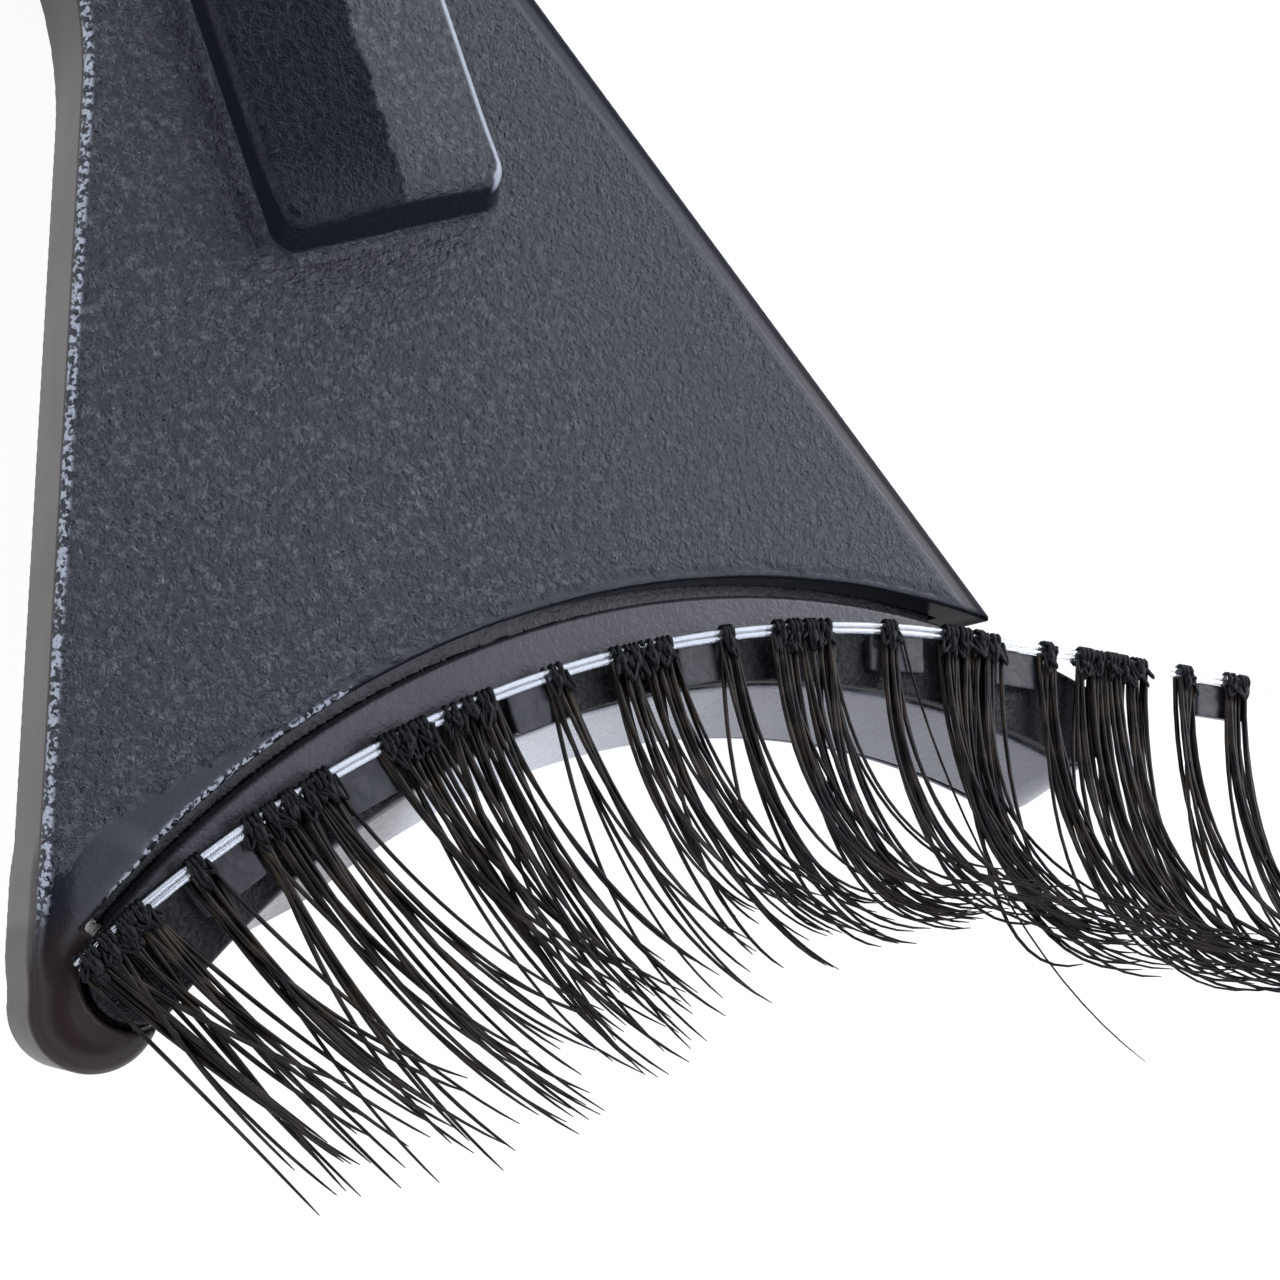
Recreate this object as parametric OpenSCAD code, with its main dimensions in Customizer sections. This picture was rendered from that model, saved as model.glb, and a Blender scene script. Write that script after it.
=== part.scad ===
// Magnetic false-lash applicator clip, holding one strip lash. Millimetres, +Z up.
// The clip lies closed on its lower lever. Jaws point to -Y, handles to +Y.
// The origin is on the surface that the clip lies on, straight under the hinge pin.

/* [Lever] */
// Half of the jaw's width, corner to centre line
jaw_half = 15; // [13:0.5:18]
// Angle between the fan's side edge and the centre line, in degrees
fan_angle = 21.7; // [19:0.1:24]
// Depth of the concave front edge
arc_depth = 4.75; // [4:0.25:6]
// From the hinge pin to the line through the jaw's corners
jaw_reach = 42; // [40:1:46]
// From the hinge pin to the end of the handles
tail_reach = 32; // [28:1:40]
// Height of one lever's side wall
lever_h = 3.7; // [3.4:0.1:4.2]
// Thickness of the levers' flat skin
skin = 1.6; // [1.4:0.1:1.8]
// Thickness of the levers' side walls
wall = 1.2; // [1:0.1:1.4]
// Gap between the closed levers
lever_gap = 0.3; // [0.2:0.1:0.5]
// How much narrower the lower lever's fan is than the upper one's, on each side
lower_narrow = 1.5; // [0:0.1:1.8]

/* [Grip bar] */
// Width of the raised bar along each lever
bar_w = 6.6; // [6:0.2:8]
// Height of the bar above the fan
bar_h = 1.75; // [1.4:0.05:2]
// How far the bar's long edges lie below its ridge
bar_slope = 0.4; // [0.2:0.05:0.5]
// From the jaw's corner line to the bar's front end
bar_front = 15.75; // [14:0.25:18]

/* [Jaw inserts] */
// Width of an insert, from its front wall to the gap at the fan
insert_w = 2.65; // [2.4:0.05:2.9]
// Gap between the fan's arc edge and the insert
insert_gap = 0.4; // [0.3:0.05:0.5]
// How far the insert's face lies below the fan's face
insert_drop = 0.55; // [0.4:0.05:0.8]
// How far the insert's front wall leans out at its foot
insert_lean = 1.2; // [0:0.1:1.4]
// Angle of the insert's closed end about the arc's centre, in degrees
insert_start = -31; // [-33:1:-28]
// Angle of the insert's free end, which overhangs the corner, in degrees
insert_end = 44; // [38:1:46]
// Thickness of the soft magnetic strip
strip_h = 0.45; // [0.4:0.05:0.5]

/* [Hinge] */
// Radius of the hinge pin
pin_r = 1; // [0.8:0.1:1.2]
// Radial running clearance in the upper lever's knuckles
pin_clear = 0.04; // [0.02:0.01:0.08]
// Radius of the torsion spring's wire
wire_r = 0.35; // [0.3:0.05:0.4]
// Number of turns in the torsion spring
coil_turns = 7; // [5:1:8]

/* [Strip lash] */
// Thickness of the clear band
band_t = 0.24; // [0.2:0.02:0.3]
// Straight end of the band past the jaw
band_tail = 11.6; // [10:0.2:12]
// Number of hair knots on the band
knots = 28; // [20:1:32]
// Length that the hair reaches forward
hair_reach = 9.2; // [7:0.2:10]
// Height that the curled hair tips reach above the band
hair_lift = 4.4; // [3:0.2:5]

/* [Hidden] */

// Heights of the stack, from the surface up
mid_z = bar_h + lever_h + lever_gap / 2;
top_z = 2 * mid_z - bar_h;

// The concave front edge: radius, and the centre's distance in front of the corner line
arc_r = (jaw_half * jaw_half + arc_depth * arc_depth) / (2 * arc_depth);
arc_y = arc_depth - arc_r;
back_r = arc_r - insert_gap;
front_r = back_r - insert_w;

// The stem between the fan and the handles
stem_half = 5.9;
tail_half = 7.2;
tail_y = jaw_reach + tail_reach;
tail_round = 3;
tail_t = bar_h + 0.7;
tail_start = jaw_reach - 4;

// The lower lever's cheeks, outside the upper lever's stem
cheek_in = 6.25;
cheek_out = 7.35;
cheek_y = 31;
cheek_back = jaw_reach + 3.2;
ear_r = 3.1;
knuckle_in = 4.6;

// The stop lobe at the closed end of the jaw
lobe_r = 1.65;
lobe_x = -14.05;
lobe_y = -0.35;
lobe_drop = 0.3;
lobe_narrow = 0.4 * lower_narrow;

// The tongue that holds an insert in its lever's groove
tongue_r = back_r + 1.3;
tongue_low = 1.6;
tongue_high = 2.5;
tongue_start = -29;
tongue_end = 30;
groove_clear = 0.05;
lean_in = 1;

// The small bar magnets, in pockets under each strip
magnet_l = 2.6;
magnet_w = 1;
magnet_h = 0.7;
magnet_step = 14;
magnet_first = -24;
magnet_r = front_r + 0.8;
strip_edge = 0.1;
strip_in = 0.12;

// The strip lash's band: an arc a little flatter than the jaw, and then a straight end
band_r = 33.7;
band_x = -0.5;
band_y = -30.67;
band_from = -23.5;
band_to = 25;
band_h = 0.5;
band_z = top_z + 0.02;
lash_magnet_at = [-16.5, -9, 0.3, 9.5, 20.5];
tail_magnet_at = [1.8, 9.8];
lash_magnet_l = 1.9;
lash_magnet_w = 1.05;
lash_magnet_h = 0.28;
lash_magnet_z = top_z - insert_drop + strip_h + 0.03 + lash_magnet_h / 2;
knot_r = 0.3;
knot_z = lash_magnet_z + lash_magnet_h / 2 + 0.02 + knot_r;
knot_out = band_r - band_t / 2 - knot_r - 0.02;
hair_t = 0.6;
hair_steps = 8;

coil_r = 1.6;
coil_half = 3;
coil_sides = 8;
coil_steps = 14;
leg_reach = 13;
slot_n = 5;
slot_step = 3;

$fn = 64;

// Everything is drawn from the corner line, and set back so that the hinge is at y = 0
module placed() {
  translate([0, -jaw_reach, 0]) children();
}

// Turns a lever's part over for the lower lever
module flipped() {
  translate([0, 0, mid_z]) mirror([0, 0, 1]) translate([0, 0, -mid_z]) children();
}

// A ring between two radii about the arc's centre, cut to a range of angles
module arc_band(r_in, r_out, from, to) {
  far = 2 * r_out;
  half = (from + to) / 2;
  translate([0, arc_y]) intersection() {
    difference() {
      circle(r_out, $fn = 180);
      circle(r_in, $fn = 180);
    }
    polygon([
      [0, 0], [far * sin(from), far * cos(from)],
      [far * sin(half), far * cos(half)], [far * sin(to), far * cos(to)]
    ]);
  }
}

// A ring sector with round ends
module round_band(r_in, r_out, from, to) {
  mean = (r_in + r_out) / 2;
  arc_band(r_in, r_out, from, to);
  for (a = [from, to])
    translate([mean * sin(a), arc_y + mean * cos(a)]) circle((r_out - r_in) / 2);
}

// The fan and stem's outline from above: drawn in by an inset, narrowed at its front part's
// sides, cut back by a radius in front, and as long as its back end says
module lever_2d(inset, narrow, cut_r, back) {
  side = (inset + narrow) / cos(fan_angle);
  half = stem_half - inset - narrow;
  full = stem_half - inset;
  bend = (jaw_half - side - half) / tan(fan_angle);
  step = cheek_y + inset;
  difference() {
    polygon([
      [jaw_half - side, 0], [half, bend], [half, step], [full, step + narrow + 1],
      [full, back], [-full, back], [-full, step + narrow + 1], [-half, step],
      [-half, bend], [-jaw_half + side, 0]
    ]);
    translate([0, arc_y]) circle(cut_r, $fn = 180);
  }
}

// The handle's outline, with round corners
module handle_2d(from) {
  inner = tail_half - tail_round;
  polygon([
    [-stem_half, from], [stem_half, from], [stem_half, jaw_reach + 4],
    [tail_half, tail_y - 18], [tail_half, tail_y - tail_round],
    [-tail_half, tail_y - tail_round], [-tail_half, tail_y - 18],
    [-stem_half, jaw_reach + 4]
  ]);
  translate([-inner, tail_y - tail_round - 1]) square([2 * inner, tail_round + 1]);
  for (s = [-1, 1]) translate([s * inner, tail_y - tail_round]) circle(tail_round);
}

// The stop lobe's outline, from the fan's side edge round to the insert's closed end
module lobe_2d(narrow) {
  r = lobe_r - narrow;
  translate([lobe_x, lobe_y]) circle(r);
  polygon([
    [-jaw_half - 0.02 + narrow, 0.1], [lobe_x - r, lobe_y], [lobe_x, lobe_y - r],
    [lobe_x + lobe_r - 0.3, lobe_y], [-jaw_half + 3.6, 3.4],
    [-jaw_half + 1.1 + 3 * narrow, 2.6]
  ]);
}

// The grip bar's section, a low roof with its ridge on the centre line
module bar_2d() {
  side = bar_w / 2;
  polygon([
    [-side, -0.5], [side, -0.5], [side, bar_h - bar_slope], [0, bar_h],
    [-side, bar_h - bar_slope]
  ]);
}

// One lever's shell, without its hinge: fan, stem, grip bar and handle
module lever_shell(narrow, lobe_in) {
  difference() {
    union() {
      translate([0, 0, top_z - lever_h]) linear_extrude(lever_h)
        lever_2d(0, narrow, arc_r, jaw_reach + 3);
      translate([0, 0, top_z - lever_h]) linear_extrude(lever_h - lobe_drop)
        difference() {
          lobe_2d(lobe_in);
          arc_band(0.1, arc_r + 0.01, insert_start, 60);
          round_band(front_r - 0.05, back_r + 0.05, insert_start, 0);
        }
      translate([0, 0, top_z + bar_h - tail_t]) linear_extrude(tail_t)
        handle_2d(tail_start);
      translate([0, jaw_reach, top_z]) rotate([90, 0, 0])
        linear_extrude(jaw_reach - bar_front) bar_2d();
    }
    // The hollow underside of the fan and the stem
    translate([0, 0, top_z - lever_h - 1]) linear_extrude(lever_h - skin + 1)
      lever_2d(wall, narrow, arc_r + wall + 1.3, jaw_reach + 4);
    // The groove for the insert's tongue
    translate([0, 0, top_z - tongue_high - groove_clear])
      linear_extrude(tongue_high - tongue_low + 2 * groove_clear)
        arc_band(arc_r - 1, tongue_r + groove_clear, tongue_start - 0.5, 60);
    // Finger grooves across the handle
    for (i = [0 : slot_n - 1])
      translate([-tail_half - 1, tail_y - 5 - i * slot_step, top_z + bar_h + 0.5])
        rotate([0, 90, 0]) cylinder(r = 1, h = 2 * tail_half + 2);
  }
}

module upper_lever() {
  color("dimgray") placed() difference() {
    union() {
      lever_shell(0, 0);
      for (s = [-1, 1]) {
        translate([s * (stem_half + knuckle_in) / 2, jaw_reach, mid_z])
          rotate([0, 90, 0])
            cylinder(r = ear_r - 0.4, h = stem_half - knuckle_in, center = true);
        translate([s * (stem_half + knuckle_in) / 2 - (stem_half - knuckle_in) / 2,
          jaw_reach - ear_r + 0.4, mid_z])
          cube([stem_half - knuckle_in, 2 * ear_r - 0.8, top_z - mid_z - 0.5]);
      }
    }
    translate([-10, jaw_reach, mid_z]) rotate([0, 90, 0])
      cylinder(r = pin_r + pin_clear, h = 20);
  }
}

module lower_lever() {
  color("dimgray") placed() difference() {
    union() {
      flipped() lever_shell(lower_narrow, lobe_narrow);
      for (s = [-1, 1]) {
        translate([s * (cheek_in + cheek_out) / 2 - (cheek_out - cheek_in) / 2,
          cheek_y, bar_h])
          cube([cheek_out - cheek_in, cheek_back - cheek_y, mid_z - bar_h]);
        translate([s * (cheek_in + cheek_out) / 2, jaw_reach, mid_z])
          rotate([0, 90, 0])
            cylinder(r = ear_r, h = cheek_out - cheek_in, center = true);
        translate([s > 0 ? stem_half - wall : -cheek_out, cheek_y, bar_h])
          cube([cheek_out - stem_half + wall, cheek_back - cheek_y, skin]);
      }
    }
    // Room for the upper lever's knuckles to turn in
    translate([-cheek_in, jaw_reach, mid_z]) rotate([0, 90, 0])
      cylinder(r = ear_r + 0.1, h = 2 * cheek_in);
    translate([-10, jaw_reach, mid_z]) rotate([0, 90, 0])
      cylinder(r = pin_r, h = 20);
  }
}

// An insert for the upper lever: the jaw's smooth front block, with its tongue
module insert_body() {
  foot_z = top_z - lever_h;
  face_z = top_z - insert_drop;
  difference() {
    union() {
      translate([0, 0, foot_z]) linear_extrude(face_z - foot_z)
        round_band(front_r, back_r, insert_start, insert_end);
      translate([0, arc_y, 0]) rotate([0, 0, 90 - insert_end + lean_in])
        rotate_extrude(angle = insert_end - insert_start - 2 * lean_in, $fn = 180)
          polygon([
            [front_r - insert_lean, foot_z], [front_r + 0.3, foot_z],
            [front_r + 0.3, face_z - 0.4], [front_r + 0.1, face_z - 0.1]
          ]);
      translate([0, 0, top_z - tongue_high]) linear_extrude(tongue_high - tongue_low)
        arc_band(back_r - 0.5, tongue_r, tongue_start, tongue_end);
    }
    // Pockets for the bar magnets
    for (i = [1 : 5]) magnet_place(i) translate([0, 0, 0.5])
      cube([magnet_l, magnet_w, magnet_h + 1], center = true);
  }
}

// Sets a child at one of the five magnet places, centred on the magnet
module magnet_place(i) {
  a = magnet_first + (i - 1) * magnet_step;
  translate([magnet_r * sin(a), arc_y + magnet_r * cos(a),
    top_z - insert_drop - magnet_h / 2])
    rotate([0, 0, -a]) children();
}

module jaw_magnet(i) {
  magnet_place(i) cube([magnet_l, magnet_w, magnet_h], center = true);
}

// The strip covers the insert's face from its front edge back to the lash band
module magnet_strip_body() {
  translate([0, 0, top_z - insert_drop]) linear_extrude(strip_h) intersection() {
    round_band(front_r + strip_edge, back_r - strip_edge, insert_start, insert_end);
    translate([band_x, band_y]) circle(band_r + strip_in, $fn = 180);
  }
}

module upper_jaw_insert() {
  color("gray") placed() insert_body();
}

module lower_jaw_insert() {
  color("gray") placed() flipped() insert_body();
}

module upper_magnet_strip() {
  color("black") placed() magnet_strip_body();
}

module lower_magnet_strip() {
  color("black") placed() flipped() magnet_strip_body();
}

module upper_jaw_magnet(i) {
  color("silver") placed() jaw_magnet(i);
}

module lower_jaw_magnet(i) {
  color("silver") placed() flipped() jaw_magnet(i);
}

module hinge_pin() {
  color("silver") placed() translate([-cheek_out - 0.5, jaw_reach, mid_z])
    rotate([0, 90, 0]) cylinder(r = pin_r, h = 2 * cheek_out + 1);
}

// A press-on cap over one end of the hinge pin
module pin_cap(side) {
  color("silver") placed() translate([side * cheek_out, jaw_reach, mid_z])
    rotate([0, side * 90, 0]) difference() {
      cylinder(r = 1.9, h = 0.9);
      translate([0, 0, -1]) cylinder(r = pin_r, h = 1.5);
    }
}

// A point on the spring's centre line, by the turn it lies at
function coil_point(t) = [
  -coil_half + 2 * coil_half * t / coil_turns,
  coil_r * cos(360 * t), coil_r * sin(360 * t)
];

// A corner of the wire's section around a point of the coil
function coil_corner(t, k) = let (
  p = coil_point(t), a = 360 * k / coil_sides, out = wire_r * cos(a)
) [p[0] + wire_r * sin(a), p[1] + out * cos(360 * t), p[2] + out * sin(360 * t)];

module spring_coil() {
  rings = coil_turns * coil_steps;
  points = [
    for (i = [0 : rings]) for (k = [0 : coil_sides - 1]) coil_corner(i / coil_steps, k)
  ];
  sides = [
    for (i = [0 : rings - 1]) for (k = [0 : coil_sides - 1]) let (
      a = i * coil_sides + k, b = i * coil_sides + (k + 1) % coil_sides
    ) [a, b, b + coil_sides, a + coil_sides]
  ];
  ends = [
    [for (k = [0 : coil_sides - 1]) coil_sides - 1 - k],
    [for (k = [0 : coil_sides - 1]) rings * coil_sides + k]
  ];
  color("silver") placed() translate([0, jaw_reach, mid_z])
    polyhedron(points = points, faces = concat(sides, ends), convexity = 10);
}

// A straight leg of the spring, from one side of the coil back to a handle
module spring_leg(side) {
  rise = mid_z - tail_t - wire_r - 0.05 - coil_r;
  start = coil_half + 2 * wire_r + 0.1;
  color("silver") placed()
    translate([side * start, jaw_reach + 0.2, mid_z + side * coil_r])
      rotate([-90 + side * atan(rise / leg_reach), 0, 0])
        cylinder(r = wire_r, h = leg_reach, $fn = 24);
}

module spring_lower_leg() {
  spring_leg(-1);
}

module spring_upper_leg() {
  spring_leg(1);
}

// A ring sector about the lash band's own centre
module lash_arc(r_in, r_out, from, to) {
  far = 2 * r_out;
  half = (from + to) / 2;
  translate([band_x, band_y]) intersection() {
    difference() {
      circle(r_out, $fn = 180);
      circle(r_in, $fn = 180);
    }
    polygon([
      [0, 0], [far * sin(from), far * cos(from)],
      [far * sin(half), far * cos(half)], [far * sin(to), far * cos(to)]
    ]);
  }
}

// Sets a child on the band at a distance past the arc's end
module on_band_end(along) {
  translate([band_x + band_r * sin(band_to) + along * cos(band_to),
    band_y + band_r * cos(band_to) - along * sin(band_to)])
    rotate([0, 0, -band_to]) children();
}

module lash_band() {
  color("white", 0.5) placed() translate([0, 0, band_z]) linear_extrude(band_h) {
    lash_arc(band_r - band_t / 2, band_r + band_t / 2, band_from, band_to);
    on_band_end(0) translate([-0.02, -band_t / 2]) square([band_tail, band_t]);
  }
}

// The knots stand on the band's front face, spread evenly over its whole length
module lash_knots() {
  arc_l = band_r * (band_to - band_from) * PI / 180;
  total = arc_l + band_tail - 1;
  color("black") placed() translate([0, 0, knot_z]) for (i = [0 : knots - 1]) {
    s = 0.5 + (total - 1) * i / (knots - 1);
    a = band_from + s / band_r * 180 / PI;
    if (s <= arc_l)
      translate([band_x + knot_out * sin(a), band_y + knot_out * cos(a), 0])
        sphere(r = knot_r, $fn = 24);
    else
      on_band_end(s - arc_l) translate([0, knot_out - band_r, 0])
        sphere(r = knot_r, $fn = 24);
  }
}

// A small magnet on the lash, lying on the jaw's strip just in front of the band
module lash_magnet(i) {
  mid = band_r - band_t / 2 - lash_magnet_w / 2 - 0.05;
  color("dimgray") placed() translate([0, 0, lash_magnet_z]) {
    if (i <= 5)
      translate([band_x + mid * sin(lash_magnet_at[i - 1]),
        band_y + mid * cos(lash_magnet_at[i - 1]), 0])
        rotate([0, 0, -lash_magnet_at[i - 1]])
          cube([lash_magnet_l, lash_magnet_w, lash_magnet_h], center = true);
    else
      on_band_end(tail_magnet_at[i - 6]) translate([0, mid - band_r, 0])
        cube([lash_magnet_l, lash_magnet_w, lash_magnet_h], center = true);
  }
}

// The hair's section: forward from the knots and curling up, as a quarter of an oval
function hair_point(t, grow) = [
  knot_out - knot_r - 0.05 - (hair_reach + grow) * sin(90 * t),
  hair_lift * (1 - cos(90 * t)) - grow * (1 - t)
];

module hair_2d() {
  inner = [for (i = [0 : hair_steps]) hair_point(i / hair_steps, 0)];
  outer = [for (i = [0 : hair_steps]) hair_point(1 - i / hair_steps, hair_t)];
  polygon(concat(inner, outer));
}

// A plain envelope of the curled hair, over one stretch of the band's arc
module lash_hair(from, to) {
  color("black") placed()
    translate([band_x, band_y, knot_z + hair_t / 2])
      rotate([0, 0, 90 - to]) rotate_extrude(angle = to - from, $fn = 180) hair_2d();
}

module lash_hair_inner() {
  lash_hair(-23, -7.5);
}

module lash_hair_middle() {
  lash_hair(-7.2, 8.6);
}

module lash_hair_outer() {
  lash_hair(8.9, 24.7);
}

// The envelope along the band's straight end
module lash_hair_end() {
  color("black") placed() translate([0, 0, knot_z + hair_t / 2])
    on_band_end(0.1) rotate([90, 0, 90]) linear_extrude(band_tail - 0.4)
      translate([-band_r, 0]) hair_2d();
}

upper_lever();
lower_lever();
upper_jaw_insert();
lower_jaw_insert();
upper_magnet_strip();
lower_magnet_strip();
upper_jaw_magnet(1);  // upper_jaw_magnet_1
upper_jaw_magnet(2);  // upper_jaw_magnet_2
upper_jaw_magnet(3);  // upper_jaw_magnet_3
upper_jaw_magnet(4);  // upper_jaw_magnet_4
upper_jaw_magnet(5);  // upper_jaw_magnet_5
lower_jaw_magnet(1);  // lower_jaw_magnet_1
lower_jaw_magnet(2);  // lower_jaw_magnet_2
lower_jaw_magnet(3);  // lower_jaw_magnet_3
lower_jaw_magnet(4);  // lower_jaw_magnet_4
lower_jaw_magnet(5);  // lower_jaw_magnet_5
hinge_pin();
pin_cap(-1);  // pin_cap_left
pin_cap(1);  // pin_cap_right
spring_coil();
spring_lower_leg();
spring_upper_leg();
lash_band();
lash_knots();
lash_magnet(1);  // lash_magnet_1
lash_magnet(2);  // lash_magnet_2
lash_magnet(3);  // lash_magnet_3
lash_magnet(4);  // lash_magnet_4
lash_magnet(5);  // lash_magnet_5
lash_magnet(6);  // lash_magnet_6
lash_magnet(7);  // lash_magnet_7
lash_hair_inner();
lash_hair_middle();
lash_hair_outer();
lash_hair_end();
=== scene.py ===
import math
import random

import bpy
import numpy as np
import openvdb
from mathutils import Matrix, Vector

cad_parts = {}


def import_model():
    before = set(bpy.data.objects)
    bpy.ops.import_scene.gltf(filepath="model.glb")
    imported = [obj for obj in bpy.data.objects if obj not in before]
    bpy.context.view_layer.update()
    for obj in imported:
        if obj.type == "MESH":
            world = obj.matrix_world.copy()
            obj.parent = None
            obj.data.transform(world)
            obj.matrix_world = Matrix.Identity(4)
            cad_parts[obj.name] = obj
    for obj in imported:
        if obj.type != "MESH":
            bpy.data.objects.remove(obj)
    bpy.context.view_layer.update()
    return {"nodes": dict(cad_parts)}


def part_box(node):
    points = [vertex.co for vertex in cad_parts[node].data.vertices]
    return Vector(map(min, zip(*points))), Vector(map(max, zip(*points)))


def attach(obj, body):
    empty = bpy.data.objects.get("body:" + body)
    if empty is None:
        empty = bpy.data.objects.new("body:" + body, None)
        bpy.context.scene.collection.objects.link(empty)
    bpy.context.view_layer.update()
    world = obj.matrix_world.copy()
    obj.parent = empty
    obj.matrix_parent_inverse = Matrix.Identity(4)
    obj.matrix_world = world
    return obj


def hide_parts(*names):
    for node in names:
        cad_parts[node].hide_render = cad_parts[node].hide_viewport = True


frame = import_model()

# Lengths are in millimetres until a mesh is written, and y is measured from the jaw's corner
# line while a shape is worked out. The frame's own y starts at the hinge.
MM = 0.001
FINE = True


def box_mm(node):
    """A CAD node's corners in millimetres, with y from the jaw's corner line."""
    low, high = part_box(node)
    shift = np.array((0, JAW_REACH, 0))
    return np.array(low) / MM + shift, np.array(high) / MM + shift


# The jaw, as the CAD draws it
JAW_REACH = 42.0
JAW_HALF = 15.0
ARC_DEPTH = 4.75
FAN_ANGLE = math.radians(21.7)
ARC_R = (JAW_HALF**2 + ARC_DEPTH**2) / (2 * ARC_DEPTH)
ARC_Y = ARC_DEPTH - ARC_R
STEM_HALF = 5.9
LOWER_NARROW = 1.5
WALL = 1.2
SKIN = 1.6
PIN_R = 1.0
BAND_LIFT = 0.02
TOP = box_mm("lash_band")[0][2] - BAND_LIFT
MID = box_mm("hinge_pin")[0][2] + PIN_R
FOOT = box_mm("upper_jaw_insert")[0][2]
BAR_TOP = box_mm("upper_lever")[1][2]
BAR_FRONT = 15.75
BAR_HALF = 3.3
BAR_FALL = (0.75, 0.5)
CHEEK_IN, CHEEK_OUT, CHEEK_Y = 6.25, 7.35, 31.0
CHEEK_BACK = JAW_REACH + 3.2
KNUCKLE_IN = 4.6
EAR_R = 3.1
TAIL_START, TAIL_Y = 38.0, 74.0
TAIL_HALF, TAIL_ROUND, TAIL_T = 7.2, 3.0, 2.45
GROOVES, GROOVE_STEP, GROOVE_R = 5, 3, 1
# The nose round the insert's left end: its centre and radius, and how far it runs back
LOBE = (-13.62, -0.9, 1.58)
NOSE_LENGTH = 3
BACK_R = ARC_R - 0.4
FRONT_R = BACK_R - 2.65
INSERT_FROM, INSERT_TO = math.radians(-31), math.radians(44)
INSERT_LEAN = 1.2
FACE = TOP - 0.55
STRIP_TOP = box_mm("upper_magnet_strip")[1][2]

# The strip lash's band: an arc and a straight end
BAND_R, BAND_X, BAND_Y = 33.7, -0.5, -30.67
BAND_FROM, BAND_TO = math.radians(-23.5), math.radians(25)
BAND_ARC = BAND_R * (BAND_TO - BAND_FROM)
BAND_LENGTH = BAND_ARC + 11.6
BAND_Z = 9.74
HAIR_TOP = box_mm("lash_hair_middle")[1][2]


# ---------------------------------------------------------------- distance fields
def smooth_step(low, high, v):
    t = np.clip((v - low) / (high - low), 0, 1)
    return t * t * (3 - 2 * t)


def join(a, b, k):
    """Two solids in one, with a fillet about k wide where they meet."""
    h = np.clip(0.5 + 0.5 * (b - a) / k, 0, 1)
    return b + (a - b) * h - k * h * (1 - h)


def keep(a, b, r):
    """What two solids share, with its edge rounded by r."""
    u, v = a + r, b + r
    return np.minimum(np.maximum(u, v), 0) + np.hypot(np.maximum(u, 0), np.maximum(v, 0)) - r


def lever_outline(x, y, narrow):
    """The fan and the stem from above."""
    ax = np.abs(x)
    side = (ax - JAW_HALF) * math.cos(FAN_ANGLE) + y * math.sin(FAN_ANGLE) + narrow
    front = join(side, ax - STEM_HALF + narrow, 0.8)
    if narrow:
        front = join(front, np.maximum(ax - STEM_HALF, CHEEK_Y + 1.2 - y), 1.5)
    return np.maximum(front, y - JAW_REACH - 3)


def arc_hole(x, y):
    """The space in front of the fan's concave edge, with the insert's round end."""
    off = np.hypot(x, y - ARC_Y) - ARC_R
    past = x * math.cos(INSERT_FROM) - (y - ARC_Y) * math.sin(INSERT_FROM)
    mean = (FRONT_R + BACK_R) / 2
    end = np.hypot(x - mean * math.sin(INSERT_FROM), y - ARC_Y - mean * math.cos(INSERT_FROM))
    return np.minimum(np.maximum(off, -past), end - (BACK_R - FRONT_R) / 2 - 0.05)


def tongue(x, y, z, room, narrow):
    """The rib that holds an insert in its lever, or with some room the groove for it."""
    far = np.hypot(x, y - ARC_Y)
    plan = np.maximum(far - BACK_R - 1.3 - room, BACK_R - 1 - far)
    turn = (np.abs(np.arctan2(x, y - ARC_Y) - 0.02) - 0.54) * ARC_R - room
    plan = np.maximum(np.maximum(plan, lever_outline(x, y, narrow) + 0.35 - room), turn)
    if not narrow:
        # and round the left end, inside the nose
        mean = (FRONT_R + BACK_R) / 2
        end = np.hypot(x - mean * math.sin(INSERT_FROM), y - ARC_Y - mean * math.cos(INSERT_FROM)) - 2.3
        nose = np.hypot(x - LOBE[0], y - LOBE[1]) - LOBE[2] + 0.35
        plan = np.minimum(plan, np.maximum(end, nose) - room)
    return np.maximum(plan, np.abs(z - TOP + 2.05) - 0.45 - room)


def lever_shell(x, y, z, narrow):
    """One lever, drawn as the upper one: fan, stem, grip bar and handle.

    The narrowed lower lever has no nose: its insert's end stands clear of the fan.
    """
    outline = lever_outline(x, y, narrow)
    arc = ARC_R - np.hypot(x, y - ARC_Y)
    fan = keep(outline, arc, 0.12 + 0.5 * smooth_step(9, 12, -x))
    near = smooth_step(0, 6, -x)
    body = keep(fan, z - TOP, 0.16 + 0.2 * near)
    if not narrow:
        sin, cos = math.sin(FAN_ANGLE), math.cos(FAN_ANGLE)
        along = np.clip((x - LOBE[0]) * sin + (y - LOBE[1]) * cos, 0, NOSE_LENGTH)
        nose = np.hypot(x - LOBE[0] - along * sin, y - LOBE[1] - along * cos)
        body = join(body, keep(nose - LOBE[2], z - TOP + 0.03, 0.85), 0.35)
    body = keep(body, FOOT - z, 0.15)
    body = keep(body, -arc_hole(x, y), 0.13)
    body = np.maximum(body, -tongue(x, y, z, 0.1, narrow))
    hollow = np.maximum(outline + WALL, arc + WALL + 1.3)
    body = np.maximum(body, -np.maximum(hollow, z - TOP + SKIN))
    return join(join(body, grip_bar(x, y, z), 0.3), handle(x, y, z), 0.35)


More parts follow.
